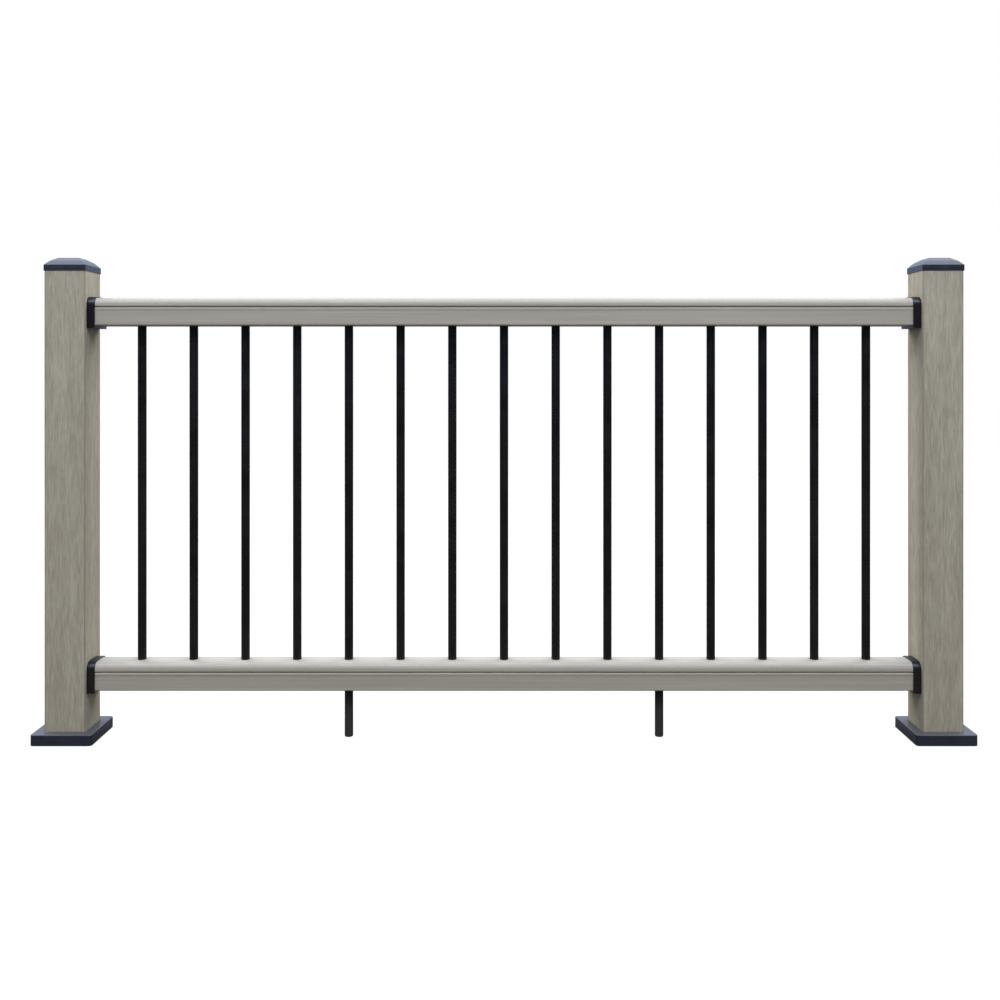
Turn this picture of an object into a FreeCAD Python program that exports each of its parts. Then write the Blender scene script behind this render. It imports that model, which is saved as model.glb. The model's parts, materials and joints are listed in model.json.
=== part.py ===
"""Deck railing section: two sleeved posts, a top and a bottom rail, round balusters and support feet.

Millimetres, +Z up. The origin is the centre of the left base plate's underside, +X runs along the
rails to the right post, and -Y is the front.
"""

import FreeCAD, Part
import os

import Sketcher
from FreeCAD import Placement, Rotation, Vector

# Driving dimensions: name, millimetres (or a count), and what it measures.
DRIVING = [
    ("clear_span", 1829.0, "between the posts' facing sides"),
    ("post_width", 90.0, "square post sleeve, outside"),
    ("post_wall", 9.0, "sleeve wall"),
    ("post_corner_radius", 4.0, "sleeve's upright outside corners"),
    ("guard_height", 974.0, "top rail's crown above the deck"),
    ("post_rise", 57.0, "sleeve's top above the top rail's crown"),
    ("plate_width", 124.0, "square base plate"),
    ("plate_thickness", 8.0, "base plate"),
    ("plate_corner_radius", 8.0, "base plate's corners"),
    ("bolt_spacing", 104.0, "between base plate bolt holes"),
    ("bolt_hole_diameter", 11.0, "base plate bolt holes"),
    ("core_top_clearance", 13.0, "core's top below the cap's spigot"),
    ("core_wall", 3.0, "steel core's wall"),
    ("core_corner_radius", 4.0, "steel core's upright corners"),
    ("core_clearance", 0.5, "core to sleeve, each side"),
    ("cap_overhang", 1.0, "cap past the sleeve, each side"),
    ("cap_fascia", 13.5, "cap's upright band"),
    ("cap_rise", 17.0, "cap's slopes, in height"),
    ("cap_plateau", 47.0, "flat square on the cap"),
    ("cap_edge_bevel", 1.2, "cap's bevelled eaves, and the edges of its flat"),
    ("cap_shell", 4.0, "cap's thickness under the slopes"),
    ("spigot_depth", 20.0, "cap's spigot down into the sleeve"),
    ("spigot_wall", 2.5, "spigot wall"),
    ("spigot_clearance", 0.4, "spigot to sleeve, each side"),
    ("skirt_width", 134.0, "square base skirt"),
    ("skirt_height", 24.0, "base skirt"),
    ("skirt_wall", 3.0, "skirt's sides and top"),
    ("skirt_corner_radius", 7.0, "skirt's upright corners"),
    ("skirt_edge_bevel", 2.0, "skirt's bevelled top edge"),
    ("skirt_clearance", 0.4, "skirt to sleeve, each side"),
    ("rail_width", 68.0, "rails, front to back"),
    ("rail_height", 62.0, "rails, underside to crown"),
    ("rail_wall", 8.0, "rails' hollow extrusion"),
    ("rail_cavity_radius", 5.0, "corners of the rails' hollow"),
    ("crown_radius", 320.0, "slight arch across the rails' top"),
    ("shoulder_radius", 15.0, "rails' rounded shoulders"),
    ("groove_height", 39.5, "groove's lower lip above the rail's underside"),
    ("groove_width", 3.6, "groove along the rails' faces"),
    ("groove_depth", 4.0, "groove along the rails' faces"),
    ("bead_height", 5.0, "bead under the groove"),
    ("bead_radius", 2.2, "bead's rounded top"),
    ("panel_recess", 0.8, "flat of the rail's face behind its bead"),
    ("foot_lip_height", 5.0, "rail's lower lip, flush with the bead"),
    ("rail_bottom_radius", 3.0, "rails' lower edges"),
    ("bottom_rail_level", 109.5, "bottom rail's underside above the deck"),
    ("rail_end_clearance", 0.5, "rail's end to the bracket's back, each end"),
    ("bracket_reach", 17.0, "rail bracket out from the post"),
    ("bracket_back", 4.0, "bracket's back plate"),
    ("bracket_side", 3.0, "bracket's cheeks"),
    ("bracket_crown", 2.0, "bracket over the rail's crown"),
    ("bracket_floor", 5.5, "bracket under the rail"),
    ("bracket_clearance", 0.3, "bracket to rail, at the cheeks and crown"),
    ("bracket_edge_bevel", 1.0, "bracket's bevelled outer rim"),
    ("screw_hole_diameter", 5.5, "bracket's screw holes"),
    ("screw_spacing", 30.0, "one screw hole above the other"),
    ("baluster_count", 15, "balusters"),
    ("baluster_pitch", 115.0, "baluster to baluster"),
    ("baluster_diameter", 19.0, "round baluster tube"),
    ("baluster_wall", 1.6, "baluster tube's wall"),
    ("baluster_clearance", 0.2, "baluster or foot to its hole, in radius"),
    ("baluster_entry", 22.0, "baluster up into the top rail"),
    ("foot_wall", 2.5, "support foot's tube and closed end"),
    ("foot_end_bevel", 2.0, "support foot's bevelled lower edge"),
    ("foot_step", 6, "pitches from one support foot to the other"),
]

# Sizes that follow from the driving ones.
DERIVED = [
    ("post_spacing", "clear_span + post_width", "post centre to post centre"),
    ("post_height", "guard_height + post_rise", "top of the sleeve above the deck"),
    ("top_rail_level", "guard_height - rail_height", "top rail's underside above the deck"),
    ("sleeve_inside", "post_width - 2 * post_wall", "sleeve, inside"),
    ("core_width", "sleeve_inside - 2 * core_clearance", "steel core, outside"),
    ("core_top", "post_height - spigot_depth - core_top_clearance", "core's top above the deck"),
    ("core_height", "core_top - plate_thickness", "steel core, above the base plate"),
    ("cap_width", "post_width + 2 * cap_overhang", "cap, outside"),
    ("spigot_width", "sleeve_inside - 2 * spigot_clearance", "cap's spigot, outside"),
    ("spigot_inside", "spigot_width - 2 * spigot_wall", "cap's spigot, inside"),
    ("cap_hollow_top", "cap_plateau - 2 * cap_shell", "top of the cap's hollow"),
    ("cap_hollow_rise", "cap_rise - cap_shell", "cap's hollow above its band"),
    ("skirt_hole", "post_width + 2 * skirt_clearance", "skirt's hole for the post"),
    ("skirt_inside", "skirt_width - 2 * skirt_wall", "skirt, inside"),
    ("rail_length", "clear_span - 2 * (bracket_back + rail_end_clearance)", "rails"),
    ("rail_half", "rail_width / 2", "rail, centre to face"),
    ("crown_drop", "crown_radius - sqrt(crown_radius ^ 2 - rail_half ^ 2)", "arch at the faces"),
    ("groove_top", "groove_height + groove_width", "groove's upper lip"),
    ("bead_foot", "groove_height - bead_height", "bead's lower edge"),
    ("cavity_half", "rail_half - rail_wall", "rails' hollow, centre to side"),
    ("cavity_top", "rail_height - crown_drop - rail_wall", "rails' hollow, upper face"),
    ("socket_half", "rail_half + bracket_clearance", "bracket's socket, centre to cheek"),
    ("socket_apex", "rail_height + bracket_clearance", "bracket's socket at the crown"),
    ("bracket_half", "socket_half + bracket_side", "bracket, centre to cheek"),
    ("bracket_apex", "socket_apex + bracket_crown", "bracket at the crown"),
    ("socket_radius", "crown_radius + bracket_clearance", "arch of the socket"),
    ("bracket_radius", "socket_radius + bracket_crown", "arch of the bracket"),
    ("socket_drop", "socket_radius - sqrt(socket_radius ^ 2 - socket_half ^ 2)", "socket's arch"),
    ("bracket_drop", "bracket_radius - sqrt(bracket_radius ^ 2 - bracket_half ^ 2)", "its arch"),
    ("hole_radius", "baluster_diameter / 2 + baluster_clearance", "holes for the balusters"),
    ("pattern_length", "(baluster_count - 1) * baluster_pitch", "first to last baluster"),
    ("first_baluster", "(post_spacing - pattern_length) / 2", "first baluster, from the origin"),
    ("rail_start", "post_width / 2 + bracket_back + rail_end_clearance", "rails' left end"),
    ("first_hole", "first_baluster - rail_start", "first baluster, from the rail's end"),
    ("baluster_seat", "bottom_rail_level + rail_wall", "floor that the balusters stand on"),
    ("baluster_length", "top_rail_level + baluster_entry - baluster_seat", "balusters"),
    ("middle_baluster", "post_spacing / 2", "middle of the section"),
    ("foot_offset", "foot_step * baluster_pitch / 2", "support foot, from the middle"),
]

doc = FreeCAD.newDocument("deck_railing_section")
sheet = doc.addObject("Spreadsheet::Sheet", "dim")


def fill_sheet():
    """Write every driving size as a plain number and every derived one as a formula."""
    formulas = [(name, "=" + formula, note) for name, formula, note in DERIVED]
    numbers = [(name, str(number), note) for name, number, note in DRIVING]
    for row, (name, text, note) in enumerate(numbers + formulas, start=1):
        sheet.set(f"A{row}", note)
        sheet.set(f"B{row}", text)
        sheet.setAlias(f"B{row}", name)
    doc.recompute()


def value(expression):
    """The number that an expression of the sheet's sizes gives now."""
    return float(sheet.evalExpression(expression))


def new_body(label):
    """An empty body whose label names its file."""
    body = doc.addObject("PartDesign::Body", label)
    body.Label = label
    return body


def place(body, along="0", up="0", turn=0.0):
    """Stand a body at a distance along the rails and a height above the deck."""
    body.Placement = Placement(Vector(0, 0, 0), Rotation(Vector(0, 0, 1), turn))
    body.setExpression("Placement.Base.x", along)
    body.setExpression("Placement.Base.z", up)


def new_sketch(body, name, plane, offset="0"):
    """A sketch on one of the body's origin planes, moved along the plane's normal."""
    sketch = body.newObject("Sketcher::SketchObject", name)
    support = next(item for item in body.Origin.OriginFeatures if item.Role == plane)
    sketch.AttachmentSupport = [(support, "")]
    sketch.MapMode = "FlatFace"
    sketch.setExpression("AttachmentOffset.Base.z", offset)
    return sketch


def bind_distance(sketch, kind, geometry, point, expression):
    """Tie one coordinate of a sketch point, from the sketch's origin, to an expression."""
    if value(expression) < 0:
        ends = (geometry, point, -1, 1)
        expression = f"-({expression})"
    else:
        ends = (-1, 1, geometry, point)
    index = sketch.addConstraint(Sketcher.Constraint(kind, *ends, value(expression)))
    sketch.setExpression(f"Constraints[{index}]", expression)


def outline(sketch, corners, arched=None, arch_radius="0"):
    """Closed outline through corners given as expressions.

    The edge that leaves corner number arched is an arc of arch_radius bulging upwards.
    """
    points = [Vector(value(across), value(up), 0) for across, up in corners]
    edges = []
    for number, start in enumerate(points):
        end = points[(number + 1) % len(points)]
        if number == arched:
            radius = value(arch_radius)
            half = (start - end).Length / 2
            rise = radius - (radius ** 2 - half ** 2) ** 0.5
            crest = (start + end) / 2 + Vector(0, rise, 0)
            edges.append(sketch.addGeometry(Part.Arc(start, crest, end)))
        else:
            edges.append(sketch.addGeometry(Part.LineSegment(start, end)))
    # An upward arc drawn from right to left starts at its own first point, as a line does.
    for number, edge in enumerate(edges):
        following = edges[(number + 1) % len(edges)]
        sketch.addConstraint(Sketcher.Constraint("Coincident", edge, 2, following, 1))
    for edge, (across, up) in zip(edges, corners):
        bind_distance(sketch, "DistanceX", edge, 1, across)
        bind_distance(sketch, "DistanceY", edge, 1, up)
    if arched is not None:
        index = sketch.addConstraint(Sketcher.Constraint("Radius", edges[arched], value(arch_radius)))
        sketch.setExpression(f"Constraints[{index}]", arch_radius)


def box_corners(left, right, low, high):
    """Corners of an upright rectangle, anticlockwise from its lower left one."""
    return [(left, low), (right, low), (right, high), (left, high)]


def square(sketch, width):
    """Square about the sketch's origin."""
    near = f"-({width}) / 2"
    far = f"({width}) / 2"
    outline(sketch, box_corners(near, far, near, far))


def circle(sketch, across, up, radius):
    """Circle whose centre and radius are expressions."""
    centre = Vector(value(across), value(up), 0)
    edge = sketch.addGeometry(Part.Circle(centre, Vector(0, 0, 1), value(radius)))
    bind_distance(sketch, "DistanceX", edge, 3, across)
    bind_distance(sketch, "DistanceY", edge, 3, up)
    index = sketch.addConstraint(Sketcher.Constraint("Radius", edge, value(radius)))
    sketch.setExpression(f"Constraints[{index}]", radius)


def pad(body, name, sketch, length, reverse=False):
    """Raise a sketch along its normal, or against it."""
    feature = body.newObject("PartDesign::Pad", name)
    feature.Profile = sketch
    feature.setExpression("Length", length)
    feature.Reversed = reverse
    doc.recompute()
    return feature


def cut(body, name, sketch, length=None, along_normal=True):
    """Cut a sketch into the solid, to a length or right through, and see that it took something."""
    before = body.Shape.Volume
    feature = body.newObject("PartDesign::Pocket", name)
    feature.Profile = sketch
    feature.Reversed = along_normal
    if length is None:
        feature.Type = "ThroughAll"
    else:
        feature.setExpression("Length", length)
    doc.recompute()
    if not body.Shape.Volume < before:
        raise RuntimeError(f"{body.Label}: {name} cuts nothing")
    return feature


def dress_edges(body, name, wanted, kind, measure, size):
    """Fillet or chamfer every edge of the body that the test picks."""
    base = body.Tip
    names = [f"Edge{number}" for number, edge in enumerate(base.Shape.Edges, start=1) if wanted(edge)]
    if not names:
        raise RuntimeError(f"{body.Label}: {name} finds no edge")
    feature = body.newObject(kind, name)
    feature.Base = (base, names)
    feature.setExpression(measure, size)
    doc.recompute()


def round_edges(body, name, wanted, radius):
    """Round the edges that the test picks."""
    dress_edges(body, name, wanted, "PartDesign::Fillet", "Radius", radius)


def bevel_edges(body, name, wanted, size):
    """Bevel the edges that the test picks, evenly on both faces."""
    dress_edges(body, name, wanted, "PartDesign::Chamfer", "Size", size)


def close_to(first, second):
    """Whether two lengths agree to a hundredth of a millimetre."""
    return abs(first - second) < 0.01


def is_upright(edge):
    """Whether an edge runs straight up."""
    first, last = edge.Vertexes[0].Point, edge.Vertexes[-1].Point
    return close_to(first.x, last.x) and close_to(first.y, last.y) and not close_to(first.z, last.z)


def upright_at(half_width):
    """Picks the upright edges at the corners of a square of that half width."""
    def wanted(edge):
        point = edge.Vertexes[0].Point
        return is_upright(edge) and close_to(abs(point.x), half_width) and close_to(abs(point.y), half_width)
    return wanted


def level_at(*heights):
    """Picks the level edges at any of the heights."""
    def wanted(edge):
        levels = [vertex.Point.z for vertex in edge.Vertexes]
        return any(all(close_to(level, height) for level in levels) for height in heights)
    return wanted


def lengthwise_at(half_width, *heights):
    """Picks the edges that run along X at a half width each side and any of the heights."""
    at_height = level_at(*heights)

    def wanted(edge):
        ends = [vertex.Point for vertex in edge.Vertexes]
        runs = len(ends) == 2 and not close_to(ends[0].x, ends[1].x)
        return runs and at_height(edge) and all(close_to(abs(end.y), half_width) for end in ends)
    return wanted


def outer_rim(shape, reach):
    """Picks the outer edges of the flat end face at a distance along X."""
    end = next(face for face in shape.Faces if all(close_to(v.Point.x, reach) for v in face.Vertexes))
    rim = end.OuterWire.Edges

    def wanted(edge):
        return any(edge.isSame(outer) for outer in rim)
    return wanted


def crowned(sketch, half, floor, shoulder, radius):
    """Rail outline: flat floor, upright cheeks, and an arched top from shoulder to shoulder."""
    corners = box_corners(f"-{half}", half, floor, shoulder)
    outline(sketch, corners, arched=2, arch_radius=radius)


def make_base_plate(label, along):
    """Steel plate with a bolt hole at each corner."""
    body = new_body(label)
    sketch = new_sketch(body, label + "_outline", "XY_Plane")
    square(sketch, "dim.plate_width")
    pad(body, label + "_slab", sketch, "dim.plate_thickness")
    half = value("dim.plate_width") / 2
    round_edges(body, label + "_corners", upright_at(half), "dim.plate_corner_radius")
    sketch = new_sketch(body, label + "_bolt", "XY_Plane")
    circle(sketch, "dim.bolt_spacing / 2", "dim.bolt_spacing / 2", "dim.bolt_hole_diameter / 2")
    hole = cut(body, label + "_bolt_hole", sketch)
    pattern = body.newObject("PartDesign::PolarPattern", label + "_bolt_holes")
    pattern.Originals = [hole]
    pattern.Axis = (sketch, ["N_Axis"])
    pattern.Angle = 360
    pattern.Occurrences = 4
    body.Tip = pattern
    place(body, along)
    return body


def make_square_tube(label, along, up, outside, inside, tall, radius):
    """Upright square tube with rounded outside corners."""
    body = new_body(label)
    sketch = new_sketch(body, label + "_outside", "XY_Plane")
    square(sketch, outside)
    pad(body, label + "_block", sketch, tall)
    round_edges(body, label + "_corners", upright_at(value(outside) / 2), radius)
    sketch = new_sketch(body, label + "_inside", "XY_Plane")
    square(sketch, inside)
    cut(body, label + "_bore", sketch)
    place(body, along, up)
    return body


def pyramid(body, name, kind, base_width, top_width, rise):
    """Add or take away a square pyramid with a flat top, standing on top of the cap's band."""
    wedge = body.newObject(kind, name)
    support = next(item for item in body.Origin.OriginFeatures if item.Role == "XY_Plane")
    wedge.AttachmentSupport = [(support, "")]
    wedge.MapMode = "FlatFace"
    # A wedge grows along its own Y, which the quarter turn points upwards.
    wedge.AttachmentOffset = Placement(Vector(0, 0, 0), Rotation(Vector(1, 0, 0), 90))
    wedge.setExpression("AttachmentOffset.Base.z", "dim.cap_fascia")
    for axis in ("X", "Z"):
        wedge.setExpression(f"{axis}min", f"-{base_width} / 2")
        wedge.setExpression(f"{axis}max", f"{base_width} / 2")
        wedge.setExpression(f"{axis}2min", f"-{top_width} / 2")
        wedge.setExpression(f"{axis}2max", f"{top_width} / 2")
    wedge.Ymin = 0
    wedge.setExpression("Ymax", rise)
    doc.recompute()


def make_post_cap(label, along):
    """Moulded cap: upright band, four slopes to a small flat, and a spigot into the sleeve."""
    body = new_body(label)
    sketch = new_sketch(body, label + "_outline", "XY_Plane")
    square(sketch, "dim.cap_width")
    pad(body, label + "_band", sketch, "dim.cap_fascia")
    pyramid(body, label + "_slopes", "PartDesign::AdditiveWedge",
            "dim.cap_width", "dim.cap_plateau", "dim.cap_rise")
    eaves_and_flat = level_at(value("dim.cap_fascia"), value("dim.cap_fascia + dim.cap_rise"))
    bevel_edges(body, label + "_edges", eaves_and_flat, "dim.cap_edge_bevel")
    sketch = new_sketch(body, label + "_spigot_outline", "XY_Plane")
    square(sketch, "dim.spigot_width")
    pad(body, label + "_spigot", sketch, "dim.spigot_depth", reverse=True)
    sketch = new_sketch(body, label + "_hollow_outline", "XY_Plane", "-dim.spigot_depth")
    square(sketch, "dim.spigot_inside")
    cut(body, label + "_hollow", sketch, "dim.spigot_depth + dim.cap_fascia")
    pyramid(body, label + "_vault", "PartDesign::SubtractiveWedge",
            "dim.spigot_inside", "dim.cap_hollow_top", "dim.cap_hollow_rise")
    place(body, along, "dim.post_height")
    return body


def make_base_skirt(label, along):
    """Moulded cover round the post's foot, open underneath over the base plate."""
    body = new_body(label)
    sketch = new_sketch(body, label + "_outline", "XY_Plane")
    square(sketch, "dim.skirt_width")
    pad(body, label + "_block", sketch, "dim.skirt_height")
    half = value("dim.skirt_width") / 2
    round_edges(body, label + "_corners", upright_at(half), "dim.skirt_corner_radius")
    rim = level_at(value("dim.skirt_height"))
    bevel_edges(body, label + "_rim", rim, "dim.skirt_edge_bevel")
    sketch = new_sketch(body, label + "_inside", "XY_Plane")
    square(sketch, "dim.skirt_inside")
    cut(body, label + "_hollow", sketch, "dim.skirt_height - dim.skirt_wall")
    sketch = new_sketch(body, label + "_post", "XY_Plane")
    square(sketch, "dim.skirt_hole")
    cut(body, label + "_post_hole", sketch)
    corners = upright_at(value("dim.skirt_hole") / 2)
    round_edges(body, label + "_hole_corners", corners, "dim.post_corner_radius")
    place(body, along)
    return body


def drill_row(body, name, level, along_normal):
    """Row of baluster holes through one wall of a rail."""
    sketch = new_sketch(body, name + "_mark", "XY_Plane", level)
    circle(sketch, "dim.first_hole", "0", "dim.hole_radius")
    hole = cut(body, name + "_first", sketch, "dim.rail_height / 2", along_normal)
    pattern = body.newObject("PartDesign::LinearPattern", name)
    pattern.Originals = [hole]
    pattern.Direction = (sketch, ["H_Axis"])
    pattern.setExpression("Length", "dim.pattern_length")
    pattern.setExpression("Occurrences", "dim.baluster_count")
    body.Tip = pattern
    doc.recompute()


def make_rail(label, level):
    """Hollow extruded rail: arched crown, round shoulders, a groove over a bead, a flat face."""
    body = new_body(label)
    sketch = new_sketch(body, label + "_section", "YZ_Plane")
    crowned(sketch, "dim.rail_half", "0", "dim.rail_height - dim.crown_drop", "dim.crown_radius")
    pad(body, label + "_bar", sketch, "dim.rail_length")
    half = value("dim.rail_half")
    shoulder = lengthwise_at(half, value("dim.rail_height - dim.crown_drop"))
    round_edges(body, label + "_shoulders", shoulder, "dim.shoulder_radius")
    round_edges(body, label + "_lower_edges", lengthwise_at(half, 0.0), "dim.rail_bottom_radius")
    side_cuts = [
        ("groove", "dim.groove_depth", "dim.groove_height", "dim.groove_top"),
        ("panel", "dim.panel_recess", "dim.foot_lip_height", "dim.bead_foot"),
    ]
    for name, depth, low, high in side_cuts:
        sketch = new_sketch(body, f"{label}_{name}_outline", "YZ_Plane")
        outline(sketch, box_corners(f"dim.rail_half - {depth}", "dim.rail_width", low, high))
        outline(sketch, box_corners("-dim.rail_width", f"{depth} - dim.rail_half", low, high))
        cut(body, f"{label}_{name}", sketch)
    bead = lengthwise_at(half, value("dim.groove_height"))
    round_edges(body, label + "_bead", bead, "dim.bead_radius")
    sketch = new_sketch(body, label + "_cavity_outline", "YZ_Plane")
    outline(sketch, box_corners("-dim.cavity_half", "dim.cavity_half", "dim.rail_wall", "dim.cavity_top"))
    cut(body, label + "_cavity", sketch)
    corners = lengthwise_at(value("dim.cavity_half"), value("dim.rail_wall"), value("dim.cavity_top"))
    round_edges(body, label + "_cavity_corners", corners, "dim.rail_cavity_radius")
    place(body, "dim.rail_start", level)
    return body


def make_top_rail():
    """Top rail, with the baluster holes in its underside."""
    body = make_rail("top_rail", "dim.top_rail_level")
    drill_row(body, "top_rail_holes", "0", True)
    return body


def make_bottom_rail():
    """Bottom rail, with the baluster holes in its crown and two foot holes underneath."""
    body = make_rail("bottom_rail", "dim.bottom_rail_level")
    drill_row(body, "bottom_rail_holes", "dim.rail_height", False)
    sketch = new_sketch(body, "bottom_rail_foot_marks", "XY_Plane")
    for sign in ("-", "+"):
        along = f"dim.middle_baluster {sign} dim.foot_offset - dim.rail_start"
        circle(sketch, along, "0", "dim.hole_radius")
    cut(body, "bottom_rail_foot_holes", sketch, "dim.rail_height / 2")
    return body


def make_bracket(label, along, level, turn):
    """Collar that holds a rail's end: a back plate on the post and a socket of the rail's outline."""
    body = new_body(label)
    sketch = new_sketch(body, label + "_outline", "YZ_Plane")
    crowned(sketch, "dim.bracket_half", "-dim.bracket_floor", "dim.bracket_apex - dim.bracket_drop",
            "dim.bracket_radius")
    pad(body, label + "_block", sketch, "dim.bracket_reach")
    sketch = new_sketch(body, label + "_socket_outline", "YZ_Plane", "dim.bracket_back")
    crowned(sketch, "dim.socket_half", "0", "dim.socket_apex - dim.socket_drop", "dim.socket_radius")
    cut(body, label + "_socket", sketch)
    inside = lengthwise_at(value("dim.socket_half"), value("dim.socket_apex - dim.socket_drop"))
    round_edges(body, label + "_socket_shoulders", inside, "dim.shoulder_radius + dim.bracket_clearance")
    half = value("dim.bracket_half")
    shoulder = lengthwise_at(half, value("dim.bracket_apex - dim.bracket_drop"))
    round_edges(body, label + "_shoulders", shoulder, "dim.shoulder_radius + dim.bracket_side")
    lower = lengthwise_at(half, -value("dim.bracket_floor"))
    round_edges(body, label + "_lower_edges", lower, "dim.rail_bottom_radius")
    rim = outer_rim(body.Tip.Shape, value("dim.bracket_reach"))
    bevel_edges(body, label + "_rim", rim, "dim.bracket_edge_bevel")
    sketch = new_sketch(body, label + "_screw_marks", "YZ_Plane")
    for sign in ("-", "+"):
        up = f"dim.rail_height / 2 {sign} dim.screw_spacing / 2"
        circle(sketch, "0", up, "dim.screw_hole_diameter / 2")
    cut(body, label + "_screw_holes", sketch)
    place(body, along, level, turn)
    return body


def make_baluster(number):
    """Round tube standing on the bottom rail's inner floor and entering the top rail."""
    label = f"baluster_{number:02d}"
    body = new_body(label)
    sketch = new_sketch(body, label + "_section", "XY_Plane")
    circle(sketch, "0", "0", "dim.baluster_diameter / 2")
    circle(sketch, "0", "0", "dim.baluster_diameter / 2 - dim.baluster_wall")
    pad(body, label + "_tube", sketch, "dim.baluster_length")
    place(body, f"dim.first_baluster + {number - 1} * dim.baluster_pitch", "dim.baluster_seat")
    return body


def make_support_foot(label, along):
    """Tube with a closed, bevelled lower end, from the deck to the bottom rail's inner floor."""
    body = new_body(label)
    sketch = new_sketch(body, label + "_section", "XY_Plane")
    circle(sketch, "0", "0", "dim.baluster_diameter / 2")
    pad(body, label + "_bar", sketch, "dim.baluster_seat")
    bevel_edges(body, label + "_tip", level_at(0.0), "dim.foot_end_bevel")
    sketch = new_sketch(body, label + "_bore_outline", "XY_Plane", "dim.baluster_seat")
    circle(sketch, "0", "0", "dim.baluster_diameter / 2 - dim.foot_wall")
    cut(body, label + "_bore", sketch, "dim.baluster_seat - dim.foot_wall", along_normal=False)
    place(body, along)
    return body


def make_post(side, along):
    """One post: base plate, steel core, sleeve, cap and base skirt."""
    seat = "dim.plate_thickness"
    return [
        make_base_plate(f"{side}_base_plate", along),
        make_square_tube(f"{side}_post_core", along, seat, "dim.core_width",
                         "dim.core_width - 2 * dim.core_wall", "dim.core_height", "dim.core_corner_radius"),
        make_square_tube(f"{side}_post_sleeve", along, seat, "dim.post_width",
                         "dim.sleeve_inside", "dim.post_height - dim.plate_thickness",
                         "dim.post_corner_radius"),
        make_post_cap(f"{side}_post_cap", along),
        make_base_skirt(f"{side}_base_skirt", along),
    ]


def make_brackets():
    """A bracket for each end of each rail."""
    left_face = "dim.post_width / 2"
    right_face = "dim.post_spacing - dim.post_width / 2"
    brackets = []
    for rail in ("top", "bottom"):
        level = f"dim.{rail}_rail_level"
        brackets.append(make_bracket(f"{rail}_left_bracket", left_face, level, 0.0))
        brackets.append(make_bracket(f"{rail}_right_bracket", right_face, level, 180.0))
    return brackets


def make_section():
    """Every sub-part of the railing section."""
    pieces = make_post("left", "0") + make_post("right", "dim.post_spacing")
    pieces += [make_top_rail(), make_bottom_rail()]
    pieces += make_brackets()
    pieces += [make_baluster(number) for number in range(1, int(value("dim.baluster_count")) + 1)]
    pieces.append(make_support_foot("left_support_foot", "dim.middle_baluster - dim.foot_offset"))
    pieces.append(make_support_foot("right_support_foot", "dim.middle_baluster + dim.foot_offset"))
    return pieces


def check_document(pieces):
    """Stop if any object failed to compute or any sub-part isn't one sound solid."""
    doc.recompute()
    for item in doc.Objects:
        if "Invalid" in item.State or "Error" in item.State:
            raise RuntimeError(f"{item.Label} did not compute: {item.State}")
    for piece in pieces:
        shape = piece.Shape
        if shape.isNull() or not shape.isValid() or len(shape.Solids) != 1:
            raise RuntimeError(f"{piece.Label} is not one sound solid")


def write_pieces(pieces):
    """Write each sub-part to a file of its own."""
    os.makedirs("parts", exist_ok=True)
    for piece in pieces:
        piece.Shape.exportStep(f"parts/{piece.Label}.step")


fill_sheet()
section = make_section()
check_document(section)
write_pieces(section)
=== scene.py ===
"""Dressed model of a deck railing section: sleeved posts, grooved rails, round balusters and feet.

Metres, +Z up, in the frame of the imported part: the origin is under the left post, +X runs along the
rails to the right post, and -Y is the front.
"""
import json
import logging
import math
from dataclasses import dataclass
from enum import Enum
from typing import Any

import bpy
import numpy as np
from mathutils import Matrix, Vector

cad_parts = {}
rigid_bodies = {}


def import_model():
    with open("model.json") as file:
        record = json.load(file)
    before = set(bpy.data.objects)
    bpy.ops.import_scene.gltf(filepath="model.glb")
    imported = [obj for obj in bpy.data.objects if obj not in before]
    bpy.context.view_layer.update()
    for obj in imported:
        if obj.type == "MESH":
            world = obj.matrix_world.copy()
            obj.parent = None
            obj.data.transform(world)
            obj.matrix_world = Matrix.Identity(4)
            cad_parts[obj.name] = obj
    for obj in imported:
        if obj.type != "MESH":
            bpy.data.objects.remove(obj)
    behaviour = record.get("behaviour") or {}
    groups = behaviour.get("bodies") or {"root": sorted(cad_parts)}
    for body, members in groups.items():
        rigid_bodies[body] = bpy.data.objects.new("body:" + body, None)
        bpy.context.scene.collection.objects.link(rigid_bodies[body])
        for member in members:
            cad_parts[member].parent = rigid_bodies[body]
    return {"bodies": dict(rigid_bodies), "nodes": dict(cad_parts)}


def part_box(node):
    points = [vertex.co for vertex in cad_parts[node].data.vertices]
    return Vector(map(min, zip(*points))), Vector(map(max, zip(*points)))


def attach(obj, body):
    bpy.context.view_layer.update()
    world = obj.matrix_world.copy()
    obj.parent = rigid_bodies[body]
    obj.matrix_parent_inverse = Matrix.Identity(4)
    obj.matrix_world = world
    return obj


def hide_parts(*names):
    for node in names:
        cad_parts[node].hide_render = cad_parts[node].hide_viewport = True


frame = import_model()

LOG = logging.getLogger("railing")
MM = 0.001
BODY = "root"
WHITE = "#ffffff"
# Edges that turn by more than this stay sharp under smooth shading.
SHARP_ANGLE = math.radians(38)
# Nearly all values of a noise texture lie between these.
NOISE_LOW = 0.3
NOISE_HIGH = 0.7


class Slot(Enum):
    """Material slots of the record."""

    POST = "composite_post"
    RAIL = "composite_rail"
    TRIM = "moulded_trim"
    BRACKET = "bracket_black"
    TUBE = "black_aluminium"
    STEEL = "galvanised_steel"


class Side(Enum):
    """The two ends of the section."""

    LEFT = "left"
    RIGHT = "right"


class Level(Enum):
    """The two rails."""

    TOP = "top"
    BOTTOM = "bottom"


class GrainAxis(Enum):
    """Way that a board's grain runs, as the place of that axis in a vector."""

    ALONG_X = 0
    ALONG_Z = 2


# Places from the frame


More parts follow.
